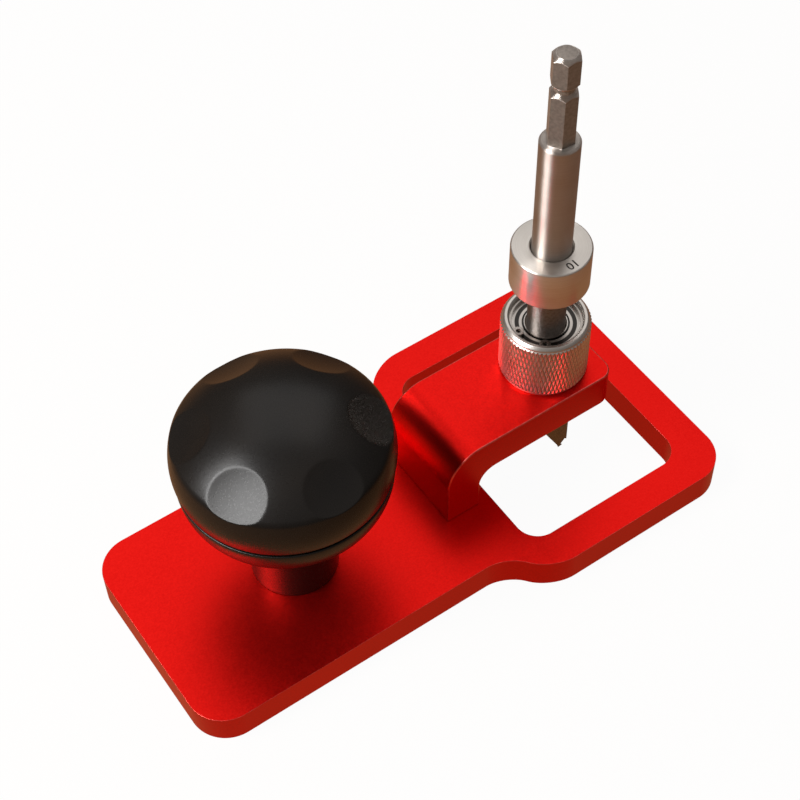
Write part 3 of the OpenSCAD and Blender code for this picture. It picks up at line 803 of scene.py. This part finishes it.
# %% Collar: size number
number_turn = math.radians(-88)
number_r = 7.75
number_size = 3.3
number_depth = 0.12
stroke_extra = 0.05
clear()
bpy.ops.object.text_add()
number = bpy.context.object
number.data.body = "10"
number.data.size = number_size * mm
number.data.extrude = number_depth * mm
number.data.offset = stroke_extra * mm
number.data.align_x = "CENTER"
number.data.align_y = "CENTER"
bpy.ops.object.convert(target="MESH")
number.rotation_euler = (0, 0, number_turn - math.pi / 2)
number.location = spindle + Vector((math.cos(number_turn) * number_r * mm,
                                    math.sin(number_turn) * number_r * mm, collar_high.z))
number = start("number_tool")
number.data.materials.append(etched)
only(collar)
collar.data.materials.append(bpy.data.materials.new("collar_ground"))
modify(collar, "BOOLEAN", operation="DIFFERENCE", object=number, solver="EXACT", material_mode="TRANSFER")
bpy.data.objects.remove(number)
only(collar)
bpy.ops.object.shade_smooth_by_angle(angle=math.radians(30))
print("collar slots:", [slot.name for slot in collar.material_slots])

# %% [markdown]
# ## Small steel pieces from the CAD
# The circlip and the blade have the right outline already. On the real ones the
# edges are dulled by stamping and grinding, so each is copied, its loose triangles are
# merged, flat areas become single faces again, and the edges are softened a little.

# %% Circlip and blade
def softened_copy(node, name, width):
    """A copy of a CAD node with merged faces and softened edges."""
    clear()
    piece = bpy.data.objects.new(name, nodes[node].data.copy())
    bpy.context.collection.objects.link(piece)
    only(piece)
    bpy.ops.object.mode_set(mode="EDIT")
    bpy.ops.mesh.select_all(action="SELECT")
    bpy.ops.mesh.remove_doubles(threshold=0.0005 * mm)
    bpy.ops.mesh.dissolve_limited(angle_limit=math.radians(1))
    only(piece)
    bpy.ops.mesh.customdata_custom_splitnormals_clear()
    soften(piece, width, angle=30, steps=2)
    return piece


stamped_edge = 0.09
ground_edge = 0.08
circlip = softened_copy("retaining_ring", "stamped_circlip", stamped_edge * mm)
blade = softened_copy("cutter_blade", "ground_blade", ground_edge * mm)
for piece in (circlip, blade):
    print(piece.name, len(piece.data.polygons), "faces after softening")

# %% [markdown]
# ## Red anodised aluminium
# Anodising grows a clear, dyed oxide on the metal. It gives an even, deep red with a
# satin shine, because the metal under it was blasted. The shine takes the dye's
# colour, so the surface is metallic. The dye drifts a little over about 22 mm.
# Blasting grain is about 0.1 mm and is drawn at 0.5 mm so that it shows. On the edges
# the dye is thin and rubbed, and the lighter colour there also paints the edges'
# highlight, in patches of about 1.6 mm, so they have a lighter slot of their own.

# %% Material: red anodised aluminium
def anodised(name, least_wear_and_highlight=0, most_wear_and_highlight=0):
    """Red anodised aluminium. Wear is how far the edges lighten, between its least and its most, for rubbed
    dye and a painted highlight.
    """
    made, tree = new_material(name)
    place = add(tree, "ShaderNodeTexCoord").outputs["Object"]
    cloud = add(tree, "ShaderNodeTexNoise", {"Vector": place, "Scale": 1 / (22 * mm), "Detail": 3,
                                             "Roughness": 0.5})
    grain = add(tree, "ShaderNodeTexNoise", {"Vector": place, "Scale": 1 / (0.5 * mm), "Detail": 2})
    dye = add(tree, "ShaderNodeValToRGB", {"Fac": cloud.outputs["Fac"]},
              [(0.3, linear("#D2120F")), (0.7, linear("#DB1612"))]).outputs["Color"]
    fleck = add(tree, "ShaderNodeValToRGB", {"Fac": grain.outputs["Fac"]},
                [(0.25, 0.0), (0.75, 1.0)]).outputs["Color"]
    tone = add(tree, "ShaderNodeMix", {"Factor": fleck, "A": dye, "B": linear("#E81C17")},
               data_type="RGBA").outputs["Result"]
    if most_wear_and_highlight:
        edge_wear_and_highlight_patches = add(tree, "ShaderNodeTexNoise", {"Vector": place, "Scale": 1 / (1.6 * mm), "Detail": 4,
                                                  "Roughness": 0.7})
        thin_dye_and_highlight = add(tree, "ShaderNodeValToRGB", {"Fac": edge_wear_and_highlight_patches.outputs["Fac"]},
                   [(0.35, least_wear_and_highlight), (0.65, most_wear_and_highlight)]).outputs["Color"]
        # Lighter edges: thin, rubbed dye and a painted highlight along the edge.
        tone = add(tree, "ShaderNodeMix", {"Factor": thin_dye_and_highlight, "A": tone, "B": linear("#FF8F86")},
                   data_type="RGBA").outputs["Result"]
    satin = add(tree, "ShaderNodeMapRange", {"Value": grain.outputs["Fac"], "To Min": 0.31, "To Max": 0.42})
    relief = add(tree, "ShaderNodeBump", {"Height": grain.outputs["Fac"], "Strength": 0.06,
                                          "Distance": 0.1 * mm})
    shell = add(tree, "ShaderNodeBsdfPrincipled", {
        "Base Color": tone, "Metallic": 1, "Roughness": satin.outputs["Result"],
        "Normal": relief.outputs[0]})
    add(tree, "ShaderNodeOutputMaterial", {"Surface": shell.outputs[0]})
    print(name, len(tree.nodes), "nodes")
    return made


red = anodised("red_anodised_aluminium")
red_edge_wear_and_highlight = anodised("rubbed_edge_with_painted_highlight", 0.2, 0.5)

# %% [markdown]
# ## Black moulded nylon
# The knob is moulded, near black, with a fine spark-eroded texture that breaks the
# shine into specks. The specks are about half a millimetre across.

# %% Material: black moulded nylon
black, tree = new_material("black_moulded_nylon")
place = add(tree, "ShaderNodeTexCoord").outputs["Object"]
speck = add(tree, "ShaderNodeTexNoise", {"Vector": place, "Scale": 1 / (0.5 * mm), "Detail": 3,
                                         "Roughness": 0.6})
cloud = add(tree, "ShaderNodeTexNoise", {"Vector": place, "Scale": 1 / (14 * mm), "Detail": 2})
tone = add(tree, "ShaderNodeValToRGB", {"Fac": cloud.outputs["Fac"]},
           [(0.3, linear("#120F0D")), (0.7, linear("#181411"))]).outputs["Color"]
shine = add(tree, "ShaderNodeMapRange", {"Value": speck.outputs["Fac"], "To Min": 0.22, "To Max": 0.36})
relief = add(tree, "ShaderNodeBump", {"Height": speck.outputs["Fac"], "Strength": 0.11, "Distance": 0.1 * mm})
moulded = add(tree, "ShaderNodeBsdfPrincipled", {
    "Base Color": tone, "Roughness": shine.outputs["Result"], "Normal": relief.outputs[0],
    "IOR": 1.53, "Specular IOR Level": 0.22})
add(tree, "ShaderNodeOutputMaterial", {"Surface": moulded.outputs[0]})
print(black.name, len(tree.nodes), "nodes")

# %% [markdown]
# ## Turned and ground steel
# A lathe leaves fine rings round its axis. Light that meets them is drawn out across
# the rings, so the shine is stronger one way. The rings are a noise that changes only
# with height and with distance from the axis, spaced 0.25 mm, a little coarser than
# the real marks, and patches of about 6 mm vary the tone. The radial tangent gives the
# direction of the rings. Below the collar the shaft shows wear from the bearings, with
# shallow dents of about 0.7 mm, and its colour is darker there as painted shade. The
# bearings' rings are darker between two radii as painted shade, where they step down
# and little light gets in.

# %% Material: turned steel
def turned_steel(name, dark, light, rough, stretch, worn_and_shaded=None, shaded_recess=None):
    """Steel with turning marks round an upright axis. It may have a zone of wear and dents with painted
    shade, and rings of painted shade where it steps down.
    """
    made, tree = new_material(name)
    place = add(tree, "ShaderNodeTexCoord").outputs["Object"]
    centred = add(tree, "ShaderNodeMapping", {"Vector": place, "Location": -spindle})
    parts = add(tree, "ShaderNodeSeparateXYZ", {"Vector": centred.outputs[0]})
    level = add(tree, "ShaderNodeCombineXYZ", {"X": parts.outputs["X"], "Y": parts.outputs["Y"]})
    radius = add(tree, "ShaderNodeVectorMath", {0: level.outputs[0]}, operation="LENGTH")
    ring_place = add(tree, "ShaderNodeCombineXYZ", {"X": radius.outputs["Value"], "Z": parts.outputs["Z"]})
    rings = add(tree, "ShaderNodeTexNoise", {"Vector": ring_place.outputs[0], "Scale": 1 / (0.25 * mm),
                                             "Detail": 2, "Roughness": 0.7})
    patches = add(tree, "ShaderNodeTexNoise", {"Vector": place, "Scale": 1 / (6 * mm), "Detail": 3})
    mixed = add(tree, "ShaderNodeMix", {"Factor": 0.35, "A": rings.outputs["Fac"],
                                        "B": patches.outputs["Fac"]})
    tone = add(tree, "ShaderNodeValToRGB", {"Fac": mixed.outputs["Result"]},
               [(0.3, linear(dark)), (0.7, linear(light))]).outputs["Color"]
    shine = add(tree, "ShaderNodeMapRange", {"Value": mixed.outputs["Result"], "From Min": 0.3,
                                             "From Max": 0.7, "To Min": rough - 0.05, "To Max": rough + 0.07})
    relief = add(tree, "ShaderNodeBump", {"Height": rings.outputs["Fac"], "Strength": 0.08,
                                          "Distance": 0.05 * mm})
    if worn_and_shaded:
        zone = add(tree, "ShaderNodeMapRange", {"Value": parts.outputs["Z"], "From Min": worn_and_shaded[0] * mm,
                                                "From Max": worn_and_shaded[1] * mm})
        marks = add(tree, "ShaderNodeTexNoise", {"Vector": place, "Scale": 1 / (0.7 * mm), "Detail": 2,
                                                 "Distortion": 0.6})
        # Painted shade: below the collar the shaft's colour turns darker. The dents below are real wear.
        shade = add(tree, "ShaderNodeValToRGB", {"Fac": marks.outputs["Fac"]},
                    [(0.35, linear("#827973")), (0.65, linear("#978E88"))]).outputs["Color"]
        tone = add(tree, "ShaderNodeMix", {"Factor": zone.outputs["Result"], "A": shade, "B": tone},
                   data_type="RGBA").outputs["Result"]
        depth = add(tree, "ShaderNodeMapRange", {"Value": parts.outputs["Z"], "From Min": worn_and_shaded[0] * mm,
                                                 "From Max": worn_and_shaded[1] * mm, "To Min": 0.22, "To Max": 0})
        relief = add(tree, "ShaderNodeBump", {"Height": marks.outputs["Fac"],
                                              "Strength": depth.outputs["Result"],
                                              "Distance": 0.3 * mm, "Normal": relief.outputs[0]})
    if shaded_recess:
        # Painted shade: the rings' colour is darkened between two radii, where they step down.
        widest = 10
        painted_shade_share = 0.08
        ends = [(r / widest, grey) for r, grey in zip(shaded_recess, (1, painted_shade_share, painted_shade_share, 1))]
        share = add(tree, "ShaderNodeMath", {0: radius.outputs["Value"], 1: widest * mm}, operation="DIVIDE")
        hollow = add(tree, "ShaderNodeValToRGB", {"Fac": share.outputs[0]}, ends).outputs["Color"]
        tone = add(tree, "ShaderNodeMix", {"Factor": 1, "A": tone, "B": hollow}, data_type="RGBA",
                   blend_type="MULTIPLY").outputs["Result"]
    along = add(tree, "ShaderNodeTangent", direction_type="RADIAL", axis="Z")
    steel = add(tree, "ShaderNodeBsdfPrincipled", {
        "Base Color": tone, "Metallic": 1, "Roughness": shine.outputs["Result"], "Normal": relief.outputs[0],
        "Anisotropic": stretch, "Anisotropic Rotation": 0.25, "Tangent": along.outputs[0]})
    add(tree, "ShaderNodeOutputMaterial", {"Surface": steel.outputs[0]})
    print(name, len(tree.nodes), "nodes")
    return made


cup_steel = turned_steel("knurled_cup_steel", "#BFB7B0", "#DED7D0", 0.36, 0.65)
ring_steel = turned_steel("spring_steel_clip", "#8E8781", "#B5ADA6", 0.25, 0.2)
race_steel = turned_steel("ground_race_steel", "#BBB4AD", "#DAD3CC", 0.24, 0.4,
                          shaded_recess=(5.6, 5.68, 6.3, 6.4))
shield_steel = turned_steel("pressed_shield_steel", "#A8A19A", "#C6BFB8", 0.3, 0.2,
                            shaded_recess=(6.85, 6.98, 8.0, 8.05))
shaft_steel = turned_steel("ground_shaft_steel", "#B0A69E", "#CFC6BE", 0.42, 1, worn_and_shaded=(62, 66))
collar_steel = turned_steel("turned_collar_steel", "#C6BEB6", "#E0DAD3", 0.36, 0.85)
ball_steel = turned_steel("polished_ball_steel", "#B3AEA9", "#C9C4BF", 0.12, 0)

# %% [markdown]
# ## Dark steels, brass and nylon
# The hexagon shank and the blade are hardened steel left grey-brown from heat and oil.
# The screws are black-oxided, the insert is brass and the bearing cages are nylon.
# Their real grain is finer than a pixel and is drawn at 0.6 to 0.8 mm so that it shows.

# %% Materials: milled steel, oxide, brass and nylon
def grained(name, dark, light, rough, metallic, grain_mm):
    """A surface with a fine even grain."""
    made, tree = new_material(name)
    place = add(tree, "ShaderNodeTexCoord").outputs["Object"]
    grain = add(tree, "ShaderNodeTexNoise", {"Vector": place, "Scale": 1 / (grain_mm * mm), "Detail": 3})
    tone = add(tree, "ShaderNodeValToRGB", {"Fac": grain.outputs["Fac"]},
               [(0.3, linear(dark)), (0.7, linear(light))]).outputs["Color"]
    shine = add(tree, "ShaderNodeMapRange", {"Value": grain.outputs["Fac"], "To Min": rough - 0.06,
                                             "To Max": rough + 0.08})
    relief = add(tree, "ShaderNodeBump", {"Height": grain.outputs["Fac"], "Strength": 0.08,
                                          "Distance": 0.05 * mm})
    skin = add(tree, "ShaderNodeBsdfPrincipled", {
        "Base Color": tone, "Metallic": metallic, "Roughness": shine.outputs["Result"],
        "Normal": relief.outputs[0]})
    add(tree, "ShaderNodeOutputMaterial", {"Surface": skin.outputs[0]})
    print(name, len(tree.nodes), "nodes")
    return made


shank_steel = grained("milled_shank_steel", "#6F665E", "#857B73", 0.35, 0.35, 0.8)
blade_steel = grained("ground_blade_steel", "#5B5551", "#7A736D", 0.3, 1, 0.6)
oxide_steel = grained("black_oxide_steel", "#2C2927", "#3A3633", 0.4, 0.9, 0.7)
insert_brass = grained("turned_brass", "#B58A3C", "#C99D4B", 0.3, 1, 0.6)
cage_nylon = grained("tan_cage_nylon", "#B79E77", "#C8B08A", 0.45, 0, 0.8)

# %% Dress the new pieces
dress(plate, "frame", "anodised_red", red, red_edge_wear_and_highlight)
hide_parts("base_plate")
dress(arm, "frame", "anodised_red", red, red_edge_wear_and_highlight)
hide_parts("bridge_arm")
dress(knob_base, "frame", "knob_black", black)
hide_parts("knob_base")
dress(knob_cap, "frame", "knob_black", black)
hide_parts("knob_cap")
dress(cup, "frame", "cup_steel", cup_steel)
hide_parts("bearing_cup")
dress(circlip, "frame", "ring_steel", ring_steel)
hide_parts("retaining_ring")
dress(shaft, "bit", "shaft_steel", shaft_steel, shank_steel)
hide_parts("bit_shaft")
dress(blade, "bit", "blade_steel", blade_steel)
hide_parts("cutter_blade")
dress(collar, "collar", "collar_steel", collar_steel, etched)
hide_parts("depth_collar")

# %% Milled faces of the shank
just_over = 0.05
side_share, top_share = 0.1, 0.98
milled_faces = 0
for face in shaft.data.polygons:
    flat = abs(face.normal.z) < side_share or face.normal.z > top_share
    milled = face.center.z > (shaft_z1 + just_over) * mm and flat
    face.material_index = 1 if milled else 0
    milled_faces += milled
print("milled faces on the shank:", milled_faces)

# %% [markdown]
# ## Pieces that keep their CAD shape
# The bearings' rings, balls, cages and shields, the screws and the insert have the
# right shape already. Only their material slots are filled.

# %% Materials for the CAD nodes
cad_finishes = {
    "arm_screws": oxide_steel, "knob_screw": oxide_steel, "collar_screw": oxide_steel,
    "knob_insert": insert_brass, "race_spacer": race_steel,
    "upper_outer_race": race_steel, "upper_inner_race": race_steel, "upper_balls": ball_steel,
    "upper_cage": cage_nylon, "upper_shields": shield_steel,
    "lower_outer_race": race_steel, "lower_inner_race": race_steel, "lower_balls": ball_steel,
    "lower_cage": cage_nylon, "lower_shields": shield_steel}
for name, material in cad_finishes.items():
    for slot in nodes[name].material_slots:
        slot.material = material
print("CAD nodes with a new finish:", len(cad_finishes))

# %% Sizes and the end
bpy.context.scene.view_settings.view_transform = "Standard"
clear()
boxes = {"cad": [list(corner) for corner in cad_box], "visual": [list(corner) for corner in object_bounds()]}
for name, corners in boxes.items():
    print(name, "box, mm:", [[round(v / mm, 2) for v in corner] for corner in corners])
